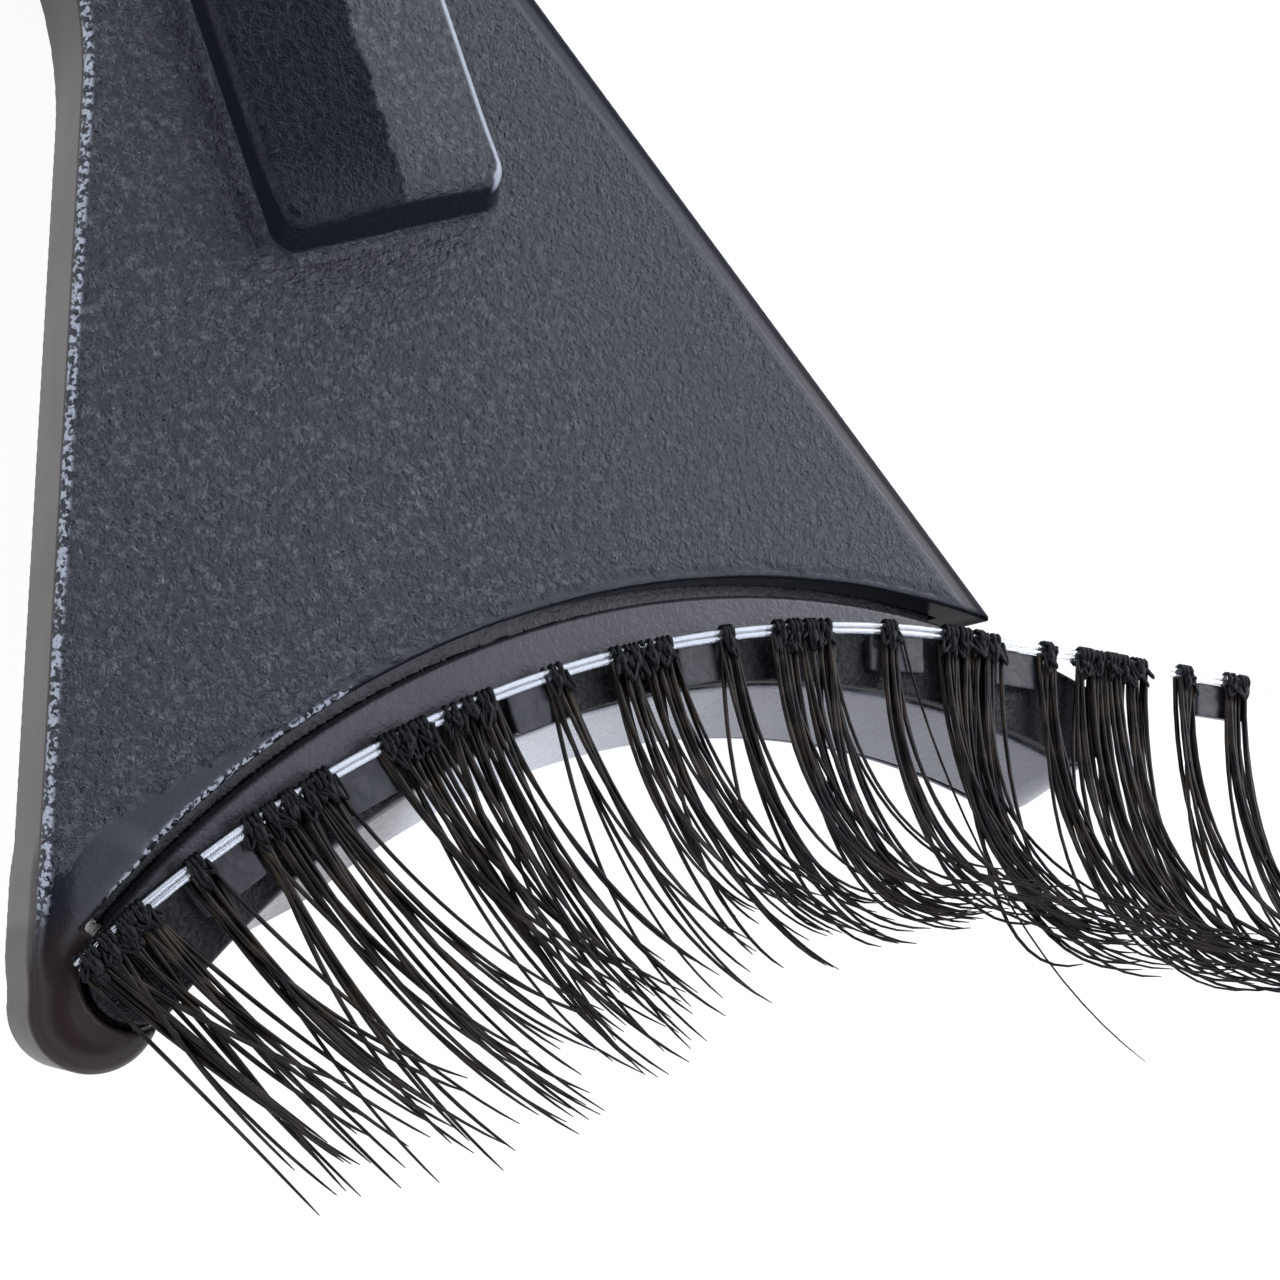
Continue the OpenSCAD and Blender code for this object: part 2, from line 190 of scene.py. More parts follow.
def grip_bar(x, y, z):
    """The raised bar: a low roof with its ridge on the centre line, and drafted walls."""
    up = z - TOP
    side = np.abs(x) - BAR_HALF - 0.1 + 0.16 * up
    end = BAR_FRONT - 0.35 + 0.42 * up - y
    plan = keep(side, np.maximum(end, y - JAW_REACH), 0.6)
    fade = smooth_step(BAR_FRONT, BAR_FRONT + 2.2, y)
    fall = np.where(x < 0, BAR_FALL[0], BAR_FALL[1]) * np.abs(x) / BAR_HALF
    roof = z - BAR_TOP + 0.35 + (fall - 0.35) * (0.2 + 0.8 * fade)
    return np.maximum(keep(plan, roof, 0.28), TOP - 0.5 - z)


def handle(x, y, z):
    """The handle, with round corners and finger grooves across it."""
    half = STEM_HALF + (TAIL_HALF - STEM_HALF) * smooth_step(JAW_REACH + 3, TAIL_Y - 17, y)
    plan = keep(np.abs(x) - half, y - TAIL_Y, TAIL_ROUND)
    plan = keep(plan, TAIL_START - y, 0.5)
    solid = keep(plan, z - BAR_TOP, 0.5)
    solid = keep(solid, BAR_TOP - TAIL_T - z, 0.35)
    for i in range(GROOVES):
        groove = np.hypot(y - TAIL_Y + 5 + GROOVE_STEP * i, z - BAR_TOP - 0.5)
        solid = keep(solid, GROOVE_R - groove, 0.2)
    return solid


def cheek_ring(x, y, z, low, high, radius):
    """A pair of round ears about the hinge pin."""
    disc = np.hypot(y - JAW_REACH, z - MID) - radius
    return keep(disc, np.abs(np.abs(x) - (low + high) / 2) - (high - low) / 2, 0.15)


def upper_lever_field(x, y, z):
    solid = lever_shell(x, y, z, 0)
    across = np.abs(np.abs(x) - (KNUCKLE_IN + STEM_HALF) / 2) - (STEM_HALF - KNUCKLE_IN) / 2
    block = np.maximum(np.abs(y - JAW_REACH) - EAR_R + 0.4, np.maximum(MID - z, z - TOP + 0.5))
    knuckle = cheek_ring(x, y, z, KNUCKLE_IN, STEM_HALF, EAR_R - 0.4)
    solid = np.minimum(solid, np.minimum(knuckle, np.maximum(across, block)))
    return np.maximum(solid, PIN_R + 0.04 - np.hypot(y - JAW_REACH, z - MID))


def lower_lever_field(x, y, z):
    solid = lever_shell(x, y, 2 * MID - z, LOWER_NARROW)
    across = np.abs(np.abs(x) - (CHEEK_IN + CHEEK_OUT) / 2) - (CHEEK_OUT - CHEEK_IN) / 2
    along = np.maximum(CHEEK_Y - y, y - CHEEK_BACK)
    low = 2 * MID - TOP
    wall = keep(across, along, 0.4)
    wall = keep(wall, np.maximum(low - z, z - MID), 0.2)
    floor = np.maximum(STEM_HALF - WALL - np.abs(x), np.abs(x) - CHEEK_OUT)
    floor = keep(np.maximum(floor, along), np.maximum(low - z, z - low - SKIN), 0.2)
    ears = cheek_ring(x, y, z, CHEEK_IN, CHEEK_OUT, EAR_R)
    solid = np.minimum(solid, join(np.minimum(wall, floor), ears, 0.2))
    pin_far = np.hypot(y - JAW_REACH, z - MID)
    solid = np.maximum(solid, -np.maximum(pin_far - EAR_R - 0.1, np.abs(x) - CHEEK_IN))
    return np.maximum(solid, PIN_R - pin_far)


def arc_capsule(x, y, inner, outer):
    """A round-ended ring sector about the arc's centre."""
    angle = np.clip(np.arctan2(x, y - ARC_Y), INSERT_FROM, INSERT_TO)
    mean = (inner + outer) / 2
    far = np.hypot(x - mean * np.sin(angle), y - ARC_Y - mean * np.cos(angle))
    return far - (outer - inner) / 2


MAGNETS = [math.radians(-24 + 14 * i) for i in range(5)]


def insert_field(x, y, z, narrow=0):
    """An insert of the upper lever: its front wall leans out towards the foot."""
    lean = smooth_step(-0.54, -0.3, np.arctan2(x, y - ARC_Y))
    front = FRONT_R - INSERT_LEAN * lean * np.clip((FACE - z) / (FACE - FOOT), 0, 1)
    solid = keep(arc_capsule(x, y, front, BACK_R), z - FACE, 0.14)
    solid = keep(solid, FOOT - z, 0.12)
    for a in MAGNETS:
        u = x * math.cos(a) - (y - ARC_Y) * math.sin(a)
        v = x * math.sin(a) + (y - ARC_Y) * math.cos(a) - FRONT_R - 0.8
        pocket = np.maximum(np.maximum(np.abs(u) - 1.3, np.abs(v) - 0.5), FACE - 0.7 - z)
        solid = np.maximum(solid, -pocket)
    return np.minimum(solid, tongue(x, y, z, 0, narrow))


def strip_field(x, y, z):
    """The soft magnetic strip on the upper insert."""
    plan = arc_capsule(x, y, FRONT_R + 0.1, BACK_R - 0.1)
    plan = np.maximum(plan, np.hypot(x - BAND_X, y - BAND_Y) - BAND_R - 0.12)
    return np.maximum(keep(plan, z - STRIP_TOP, 0.12), FACE - z)


def lower_insert_field(x, y, z):
    return insert_field(x, y, 2 * MID - z, LOWER_NARROW)


def lower_strip_field(x, y, z):
    return strip_field(x, y, 2 * MID - z)


# ---------------------------------------------------------------- meshes from fields
BLOCK = 8


def sampled(field, low, step, counts):
    """The field on a grid, worked out finely only in the blocks that its surface crosses."""
    blocks = [-(-c // BLOCK) for c in counts]
    centre = [low[i] + (np.arange(blocks[i]) * BLOCK + BLOCK / 2) * step for i in range(3)]
    gx, gy, gz = np.meshgrid(*centre, indexing="ij")
    rough = field(gx, gy, gz)
    limit = 3 * step
    grid = np.where(rough > 0, limit, -limit).astype(np.float32)
    for axis in range(3):
        grid = np.repeat(grid, BLOCK, axis)
    near = np.argwhere(np.abs(rough) < BLOCK * step * 1.3)
    inner = np.stack(np.meshgrid(*[np.arange(BLOCK)] * 3, indexing="ij"), -1).reshape(-1, 3)
    for part in np.array_split(near, max(1, len(near) // 2000)):
        index = (part[:, None, :] * BLOCK + inner[None]).reshape(-1, 3)
        p = index * step + np.array(low)
        d = field(p[:, 0], p[:, 1], p[:, 2])
        grid[index[:, 0], index[:, 1], index[:, 2]] = np.clip(d, -limit, limit)
    return grid


def slope(field, p, h=0.01):
    """The field's unit gradient at some points."""
    g = np.empty_like(p)
    for axis in range(3):
        d = np.zeros(3)
        d[axis] = h
        a, b = p + d, p - d
        g[:, axis] = field(a[:, 0], a[:, 1], a[:, 2]) - field(b[:, 0], b[:, 1], b[:, 2])
    return g / np.maximum(np.linalg.norm(g, axis=1, keepdims=True), 1e-9)


def new_object(name, points, faces, normals=None):
    """A smooth mesh object in the row frame, from points in millimetres."""
    points = (np.asarray(points, float) - (0, JAW_REACH, 0)) * MM
    mesh = bpy.data.meshes.new(name)
    mesh.from_pydata(points.tolist(), [], [list(map(int, f)) for f in faces])
    mesh.validate()
    mesh.update()
    mesh.polygons.foreach_set("use_smooth", [True] * len(mesh.polygons))
    if normals is not None:
        mesh.normals_split_custom_set_from_vertices(normals.tolist())
    ob = bpy.data.objects.new(name, mesh)
    bpy.context.scene.collection.objects.link(ob)
    return ob


def mesh_of(name, field, low, high, step):
    """A closed mesh of a field's surface, its points drawn onto the exact surface."""
    counts = [math.ceil((high[i] - low[i]) / step) + 1 for i in range(3)]
    grid = openvdb.FloatGrid(3 * step)
    grid.copyFromArray(sampled(field, low, step, counts))
    points, triangles, quads = grid.convertToPolygons(isovalue=0.0, adaptivity=0.0)
    points = np.asarray(points, float) * step + np.array(low)
    for _ in range(2):
        n = slope(field, points)
        d = field(points[:, 0], points[:, 1], points[:, 2])
        points = points - n * np.clip(d, -step, step)[:, None]
    n = slope(field, points)
    faces = [f[::-1] for f in triangles.tolist()] + [f[::-1] for f in quads.tolist()]
    f = faces[len(faces) // 2]
    turn = np.cross(points[f[1]] - points[f[0]], points[f[2]] - points[f[0]])
    if turn @ n[f[0]] < 0:
        faces = [g[::-1] for g in faces]
    return new_object(name, points, faces, n)


# ---------------------------------------------------------------- meshes from sweeps
def sweep(path, radii, sides, up=(0, 0, 1), squash=1.0):
    """Points and faces of a closed tube along a path, round or flattened."""
    path = np.asarray(path, float)
    along = np.gradient(path, axis=0)
    along /= np.linalg.norm(along, axis=1, keepdims=True)
    side = np.cross(along, np.array(up, float))
    side /= np.maximum(np.linalg.norm(side, axis=1, keepdims=True), 1e-9)
    top = np.cross(side, along)
    turn = 2 * math.pi * np.arange(sides) / sides
    radii = np.broadcast_to(np.asarray(radii, float), (len(path),))
    ring = (
        side[:, None] * np.cos(turn)[None, :, None]
        + top[:, None] * np.sin(turn)[None, :, None] * squash
    ) * radii[:, None, None]
    points = (path[:, None] + ring).reshape(-1, 3)
    faces = []
    for i in range(len(path) - 1):
        for k in range(sides):
            a, b = i * sides + k, i * sides + (k + 1) % sides
            faces.append((a, a + sides, b + sides, b))
    last = (len(path) - 1) * sides
    faces.append(tuple(range(sides)))
    faces.append(tuple(reversed(range(last, last + sides))))
    return points, faces


def joined(name, parts):
    """One object of several point and face sets."""
    points, faces, start = [], [], 0
    for p, f in parts:
        points.append(p)
        faces += [tuple(i + start for i in g) for g in f]
        start += len(p)
    return new_object(name, np.concatenate(points), faces)


def band_point(s, out=0.0, z=BAND_Z):
    """A point on the band's line, s from its left end, moved out from the band's centre."""
    if s <= BAND_ARC:
        a = BAND_FROM + s / BAND_R
        return np.array((BAND_X + (BAND_R + out) * math.sin(a), BAND_Y + (BAND_R + out) * math.cos(a), z))
    t = s - BAND_ARC
    return np.array(
        (
            BAND_X + (BAND_R + out) * math.sin(BAND_TO) + t * math.cos(BAND_TO),
            BAND_Y + (BAND_R + out) * math.cos(BAND_TO) - t * math.sin(BAND_TO),
            z,
        )
    )


def band_axes(s):
    """The directions forward from the band and along it."""
    a = min(BAND_FROM + s / BAND_R, BAND_TO)
    return np.array((-math.sin(a), -math.cos(a), 0)), np.array((math.cos(a), -math.sin(a), 0))


# ---------------------------------------------------------------- materials
def nodes_of(name, colour, roughness, **sockets):
    """A new material, its node tree and its shader with these constants."""
    m = bpy.data.materials.new(name)
    m.use_nodes = True
    shader = m.node_tree.nodes["Principled BSDF"]
    shader.inputs["Base Color"].default_value = (*colour, 1)
    shader.inputs["Roughness"].default_value = roughness
    for socket, value in sockets.items():
        shader.inputs[socket.replace("_", " ")].default_value = value
    return m, m.node_tree, shader


def add(tree, kind, **values):
    node = tree.nodes.new(kind)
    for key, value in values.items():
        if hasattr(node, key):
            setattr(node, key, value)
        else:
            node.inputs[key.replace("_", " ")].default_value = value
    return node


def math_node(tree, operation, a, b=None):
    """The result of a Math node whose inputs are sockets or numbers."""
    node = add(tree, "ShaderNodeMath", operation=operation)
    for i, v in enumerate((a, b)):
        if v is None:
            continue
        if isinstance(v, (int, float)):
            node.inputs[i].default_value = v
        else:
            tree.links.new(v, node.inputs[i])
    return node.outputs[0]


def ramp(tree, value, low, high, to_low=0.0, to_high=1.0):
    """A smooth change from one value to another as the input goes from low to high."""
    node = add(tree, "ShaderNodeMapRange")
    node.interpolation_type = "SMOOTHSTEP"
    for i, v in enumerate((low, high, to_low, to_high)):
        node.inputs[i + 1].default_value = v
    tree.links.new(value, node.inputs[0])
    return node.outputs[0]


def place(tree):
    """The place on the object in millimetres, in the row frame."""
    coord = add(tree, "ShaderNodeTexCoord")
    scale = add(tree, "ShaderNodeVectorMath", operation="SCALE")
    scale.inputs["Scale"].default_value = 1 / MM
    tree.links.new(coord.outputs["Object"], scale.inputs[0])
    return scale.outputs[0]


def noise(tree, at, scale, detail=3.0, distortion=0.0, roughness=0.5):
    node = add(tree, "ShaderNodeTexNoise")
    node.inputs["Scale"].default_value = scale
    node.inputs["Detail"].default_value = detail
    node.inputs["Distortion"].default_value = distortion
    node.inputs["Roughness"].default_value = roughness
    tree.links.new(at, node.inputs["Vector"])
    return node.outputs["Fac"]


def bump(tree, shader, height, distance, strength=1.0):
    node = add(tree, "ShaderNodeBump")
    node.inputs["Distance"].default_value = distance
    node.inputs["Strength"].default_value = strength
    tree.links.new(height, node.inputs["Height"])
    tree.links.new(node.outputs[0], shader.inputs["Normal"])


def blend(tree, value, low, high):
    """Mixes two colours, each given outright or as another node's colour."""
    mix = add(tree, "ShaderNodeMix", data_type="RGBA")
    ends = [i for i in mix.inputs if i.type == "RGBA"]
    for end, colour in zip(ends, (low, high)):
        if isinstance(colour, tuple):
            end.default_value = (*colour, 1)
        else:
            tree.links.new(colour, end)
    tree.links.new(value, mix.inputs[0])
    return next(o for o in mix.outputs if o.type == "RGBA")


def tint(tree, shader, value, low, high):
    """Drives the base colour between two colours."""
    tree.links.new(blend(tree, value, low, high), shader.inputs["Base Color"])


def grained_plastic(upward):
    """Black moulded plastic: spark-eroded on the wide face, smooth on rims, walls and nose."""
    m, tree, shader = nodes_of("lever_plastic", (0.005, 0.006, 0.008), 0.3, Specular_IOR_Level=0.3)
    at = place(tree)
    split = add(tree, "ShaderNodeSeparateXYZ")
    tree.links.new(at, split.inputs[0])
    x, y, z = split.outputs
    facing = add(tree, "ShaderNodeNewGeometry")
    face = add(tree, "ShaderNodeSeparateXYZ")
    tree.links.new(facing.outputs["Normal"], face.inputs[0])
    up = math_node(tree, "MULTIPLY", face.outputs[2], upward)
    flat = ramp(tree, up, 0.25, 0.5)
    back = math_node(tree, "ADD", y, JAW_REACH - ARC_Y)
    far = math_node(tree, "SQRT", math_node(tree, "ADD", math_node(tree, "MULTIPLY", x, x),
                                            math_node(tree, "MULTIPLY", back, back)))
    # The smooth rim along the concave edge widens towards the nose
    wide = ramp(tree, x, -12.8, -7.0, 1.35, 0.34)
    edge = math_node(tree, "SUBTRACT", math_node(tree, "SUBTRACT", far, ARC_R), wide)
    edge = math_node(tree, "ADD", edge, math_node(tree, "MULTIPLY", noise(tree, at, 1.6, 3.0), 0.5))
    inside = ramp(tree, edge, 0.1, 0.45)
    # and the far side's rim is smooth too
    side = math_node(tree, "ADD", math_node(tree, "MULTIPLY", x, math.cos(FAN_ANGLE)),
                     math_node(tree, "MULTIPLY", y, math.sin(FAN_ANGLE)))
    limit = JAW_HALF * math.cos(FAN_ANGLE) - JAW_REACH * math.sin(FAN_ANGLE)
    side = math_node(tree, "SUBTRACT", side, math_node(tree, "MULTIPLY", ramp(tree, y, -20.5, -19.5), 99.0))
    side = math_node(tree, "SUBTRACT", side, limit)
    right = ramp(tree, side, -0.75, -0.5, 1, 0)
    mask = math_node(tree, "MULTIPLY", math_node(tree, "MULTIPLY", flat, inside), right)
    # The bar's near half and its walls are finer and darker than the rest
    raised = math_node(tree, "MULTIPLY", ramp(tree, z, TOP + 0.1, TOP + 0.3), ramp(tree, x, -4.3, -4.0))
    raised = math_node(tree, "MULTIPLY", raised, ramp(tree, y, -2.0, -6.0))
    ragged = math_node(tree, "ADD", x, math_node(tree, "MULTIPLY", noise(tree, at, 2.2, 3.0), 0.5))
    near = ramp(tree, ragged, 0.12, 0.38, 1, 0)
    bar = math_node(tree, "MULTIPLY", raised, math_node(tree, "MAXIMUM", near, ramp(tree, up, 0.4, 0.7, 1, 0)))
    mask = math_node(tree, "MULTIPLY", mask, ramp(tree, bar, 0, 1, 1.0, 0.5))
    rough = noise(tree, at, 3.6, 4.0, 0.5, 0.68)
    pits = noise(tree, at, 9.0, 2.0, 0.3, 0.6)
    rough = math_node(tree, "ADD", rough, math_node(tree, "MULTIPLY", pits, 0.35))
    fine = math_node(tree, "MULTIPLY", pits, 0.05)
    rough = math_node(tree, "MULTIPLY", rough, ramp(tree, x, -3.0, 8.0, 1.3, 0.9))
    height = math_node(tree, "ADD", math_node(tree, "MULTIPLY", rough, mask), fine)
    bump(tree, shader, height, 0.0001, 1.0)
    # The outer wall and the nose are a shade browner, and pale specks on the near edge are a painted highlight
    nose_x = math_node(tree, "SUBTRACT", x, LOBE[0])
    nose_y = math_node(tree, "SUBTRACT", y, LOBE[1] - JAW_REACH)
    nose_far = math_node(tree, "SQRT", math_node(tree, "ADD", math_node(tree, "MULTIPLY", nose_x, nose_x),
                                                 math_node(tree, "MULTIPLY", nose_y, nose_y)))
    nose = ramp(tree, nose_far, 1.4, 2.8, 1, 0)
    outer = ramp(tree, x, -5.4, -5.0, 1, 0)
    wall = math_node(tree, "MULTIPLY", ramp(tree, up, 0.1, 0.5, 1, 0), outer)
    brown = math_node(tree, "MAXIMUM", wall, nose)
    band = math_node(tree, "MULTIPLY", ramp(tree, up, 0.25, 0.5), ramp(tree, up, 0.86, 0.99, 1, 0))
    band = math_node(tree, "MULTIPLY", band, ramp(tree, nose_far, 2.2, 3.2))
    highlight_specks = math_node(tree, "MULTIPLY", ramp(tree, noise(tree, at, 6.5, 3.0), 0.46, 0.56), outer)
    highlight_specks = math_node(tree, "MULTIPLY", highlight_specks, ramp(tree, y, -6.0, -12.0))
    # and a thin painted highlight along the bar's right top edge
    ridge = math_node(tree, "MULTIPLY", ramp(tree, x, 2.7, 2.9), ramp(tree, z, BAR_TOP - 0.9, BAR_TOP - 0.7))
    ridge = math_node(tree, "MULTIPLY", ridge, ramp(tree, up, 0.93, 0.975, 1, 0))
    highlight_specks = math_node(tree, "MAXIMUM", highlight_specks, math_node(tree, "MULTIPLY", ridge, raised))
    # Pale grey painted highlight on the rounded edges, in specks
    painted_edge_highlight = math_node(tree, "MULTIPLY", band, highlight_specks)
    patches = noise(tree, at, 0.35, 3.0)
    base = blend(tree, brown, (0.0045, 0.005, 0.0075), (0.017, 0.011, 0.0095))
    tree.links.new(blend(tree, painted_edge_highlight, base, (0.25, 0.26, 0.28)), shader.inputs["Base Color"])
    rim = ramp(tree, side, -0.4, -0.2, 0.3, 0.06)
    glint = ramp(tree, noise(tree, at, 4.6, 3.0, 0.4, 0.62), 0.5, 0.64)
    glint = math_node(tree, "MULTIPLY", math_node(tree, "MULTIPLY", glint, mask), ramp(tree, x, -2.0, 9.0, 0.24, 0.05))
    rim = math_node(tree, "ADD", rim, glint)
    dull = math_node(tree, "SUBTRACT", rim, math_node(tree, "MULTIPLY", wall, 0.24))
    dull = math_node(tree, "MAXIMUM", math_node(tree, "SUBTRACT", dull, math_node(tree, "MULTIPLY", nose, 0.2)), 0.03)
    dull = math_node(tree, "MULTIPLY", dull, ramp(tree, bar, 0, 1, 1.0, 0.4))
    tree.links.new(dull, shader.inputs["Specular IOR Level"])
    gloss = math_node(tree, "ADD", math_node(tree, "MULTIPLY", mask, -0.04),
                      math_node(tree, "MULTIPLY", patches, 0.1))
    tree.links.new(math_node(tree, "ADD", gloss, 0.23), shader.inputs["Roughness"])
    return m


def smooth_plastic():
    m, tree, shader = nodes_of("insert_plastic", (0.03, 0.027, 0.03), 0.28, Specular_IOR_Level=0.34)
    at = place(tree)
    cloud = noise(tree, at, 0.8, 4.0, 0.3)
    split = add(tree, "ShaderNodeSeparateXYZ")
    tree.links.new(at, split.inputs[0])
    facing = add(tree, "ShaderNodeNewGeometry")
    face = add(tree, "ShaderNodeSeparateXYZ")
    tree.links.new(facing.outputs["Normal"], face.inputs[0])
    front = ramp(tree, face.outputs[1], -0.35, -0.75)
    back = math_node(tree, "ADD", split.outputs[1], JAW_REACH - ARC_Y)
    far = math_node(tree, "SQRT", math_node(tree, "ADD", math_node(tree, "MULTIPLY", back, back),
                                            math_node(tree, "MULTIPLY", split.outputs[0], split.outputs[0])))
    front = math_node(tree, "MULTIPLY", front, ramp(tree, far, FRONT_R + 0.1, FRONT_R + 0.4, 1, 0))
    # The front wall is pale in the middle and dark by the nose: a painted reflection of the white floor, faded out by
    # the nose
    pale = math_node(tree, "MULTIPLY", front, ramp(tree, split.outputs[0], -6.0, 9.0, 1.3, 0.25))
    pale = math_node(tree, "MULTIPLY", pale, ramp(tree, split.outputs[0], -5.5, -1.5, 0.1, 1.0))
    # random tone, plus the painted reflection on the front wall
    tone_and_painted_reflection = math_node(tree, "ADD", math_node(tree, "MULTIPLY", cloud, 0.05), pale)
    tint(tree, shader, tone_and_painted_reflection, (0.018, 0.0145, 0.018), (0.42, 0.42, 0.43))
    scuff = noise(tree, at, 5.0, 4.0, 1.0)
    bump(tree, shader, scuff, 0.00003, 0.5)
    tree.links.new(ramp(tree, scuff, 0.4, 0.75, 0.24, 0.38), shader.inputs["Roughness"])
    return m


def strip_rubber():
    m, tree, shader = nodes_of("strip_rubber", (0.006, 0.006, 0.007), 0.5, Specular_IOR_Level=0.25)
    at = place(tree)
    bump(tree, shader, noise(tree, at, 6.0, 3.0, 0.8), 0.00012, 0.8)
    tint(tree, shader, ramp(tree, noise(tree, at, 2.0), 0.4, 0.7), (0.002, 0.002, 0.002), (0.006, 0.006, 0.007))
    return m


def steel(name, colour, roughness):
    m, tree, shader = nodes_of(name, colour, roughness, Metallic=1.0)
    at = place(tree)
    brushed = noise(tree, at, 9.0, 4.0, 0.2)
    bump(tree, shader, brushed, 0.00002, 0.4)
    tree.links.new(ramp(tree, brushed, 0.3, 0.75, roughness - 0.06, roughness + 0.1),
                   shader.inputs["Roughness"])
    return m


def clear_plastic():
    m, tree, shader = nodes_of("clear_band", (0.93, 0.94, 0.95), 0.03, Transmission_Weight=0.9, IOR=1.5,
                               Coat_Weight=1.0, Coat_IOR=2.0, Coat_Roughness=0.05)
    at = place(tree)
    tint(tree, shader, noise(tree, at, 1.5), (0.86, 0.87, 0.88), (0.96, 0.97, 0.98))
    return m


def hair_fibre():
    m, tree, shader = nodes_of("lash_hair", (0.005, 0.004, 0.003), 0.36, Specular_IOR_Level=0.14)
    at = place(tree)
    tint(tree, shader, ramp(tree, noise(tree, at, 1.2, 2.0), 0.4, 0.65), (0.002, 0.0015, 0.001), (0.018, 0.012, 0.007))
    bump(tree, shader, noise(tree, at, 12.0), 0.00001, 0.4)
    return m


def knot_thread():
    m, tree, shader = nodes_of("knot_glue", (0.003, 0.003, 0.003), 0.34, Specular_IOR_Level=0.12)
    at = place(tree)
    bump(tree, shader, noise(tree, at, 10.0, 3.0), 0.00004, 0.6)
    tint(tree, shader, noise(tree, at, 5.0), (0.001, 0.001, 0.001), (0.004, 0.004, 0.004))
    return m


def magnet_coat(name, low, high):
    m, tree, shader = nodes_of(name, low, 0.35, Specular_IOR_Level=0.3)
    at = place(tree)
    cloud = noise(tree, at, 2.5, 3.0, 0.4)
    tint(tree, shader, ramp(tree, cloud, 0.35, 0.7), low, high)
    bump(tree, shader, cloud, 0.00004, 0.5)
    return m


LEVER_UP = grained_plastic(1)
LEVER_DOWN = grained_plastic(-1)
INSERT = smooth_plastic()
RUBBER = strip_rubber()
PIN_STEEL = steel("pin_steel", (0.56, 0.56, 0.58), 0.24)
SPRING_STEEL = steel("spring_steel", (0.50, 0.50, 0.52), 0.3)
CLEAR = clear_plastic()
HAIR = hair_fibre()
KNOT = knot_thread()
LASH_MAGNET = magnet_coat("lash_magnet", (0.006, 0.006, 0.007), (0.02, 0.018, 0.02))
JAW_MAGNET = magnet_coat("jaw_magnet", (0.45, 0.45, 0.47), (0.58, 0.58, 0.6))


def finish_piece(ob, material, body, slot, *replaced):
    ob.data.materials.append(material)
    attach(ob, body)
    if replaced:
        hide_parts(*replaced)
    return ob


def plain(node, material):
    """A CAD node that stays as it is, with its own material."""
    ob = frame["nodes"][node]
    if ob.data.materials:
        ob.data.materials[0] = material
    else:
        ob.data.materials.append(material)
    return ob


# ---------------------------------------------------------------- pieces
def levers():
    step = 0.12 if FINE else 0.2
    upper = mesh_of("upper_lever_shell", upper_lever_field,
                    (-16.4, -2.9, 2.4), (16.0, 74.8, 11.9), step)
    lower = mesh_of("lower_lever_shell", lower_lever_field,
                    (-16.4, -2.9, -0.6), (16.0, 74.8, 9.4), step)
    finish_piece(upper, LEVER_UP, "upper", "lever_plastic", "upper_lever")
    finish_piece(lower, LEVER_DOWN, "lower", "lever_plastic", "lower_lever")


def inserts():
    step = 0.06 if FINE else 0.1
    low, high = (-14.6, -8.2, 5.2), (19.4, 5.0, 9.9)
    down_low, down_high = (low[0], low[1], 2 * MID - high[2]), (high[0], high[1], 2 * MID - low[2])
    parts = (("insert", insert_field, lower_insert_field, INSERT, "insert_plastic", "jaw_insert"),
             ("strip", strip_field, lower_strip_field, RUBBER, "strip_rubber", "magnet_strip"))
    for name, field, lower_field, material, slot, node in parts:
        up = mesh_of("upper_" + name + "_body", field, low, high, step)
        finish_piece(up, material, "upper", slot, "upper_" + node)
        down = mesh_of("lower_" + name + "_body", lower_field, down_low, down_high, step)
        finish_piece(down, material, "lower", slot, "lower_" + node)
    for side in ("upper", "lower"):
        for i in range(1, 6):
            plain(f"{side}_jaw_magnet_{i}", JAW_MAGNET)


def lathe(profile, centre, direction, sides=48):
    """A closed shape turned about the x axis: profile points are (along, radius)."""
    points, faces = [], []
    for along, r in profile:
        for k in range(sides):
            t = 2 * math.pi * k / sides
            points.append((centre[0] + direction * along, centre[1] + r * math.cos(t), centre[2] + r * math.sin(t)))
    n = len(profile)
    for i in range(n - 1):
        for k in range(sides):
            a, b = i * sides + k, i * sides + (k + 1) % sides
            quad = (a, b, b + sides, a + sides)
            faces.append(quad if direction < 0 else quad[::-1])
    first, last = tuple(range(sides)), tuple(range((n - 1) * sides, n * sides))
    faces += [first[::-1], last] if direction < 0 else [first, last[::-1]]
    return np.array(points), faces


def hinge():
    """The pin, and the domed caps over its ends."""
    plain("hinge_pin", PIN_STEEL)
    dome = [(0.0, 1.86), (0.05, 1.9), (0.5, 1.9)]
    dome += [(0.5 + 0.4 * math.sin(t), 1.5 + 0.4 * math.cos(t)) for t in np.linspace(0.3, 1.57, 6)]
    dome += [(0.9, 1.0), (0.86, 0.85), (0.86, 0.02)]
    for node, side in (("pin_cap_left", -1), ("pin_cap_right", 1)):
        p, f = lathe(dome, (side * CHEEK_OUT, JAW_REACH, MID), side)
        finish_piece(new_object(node + "_dome", p, f), PIN_STEEL, "lower", "pin_steel", node)


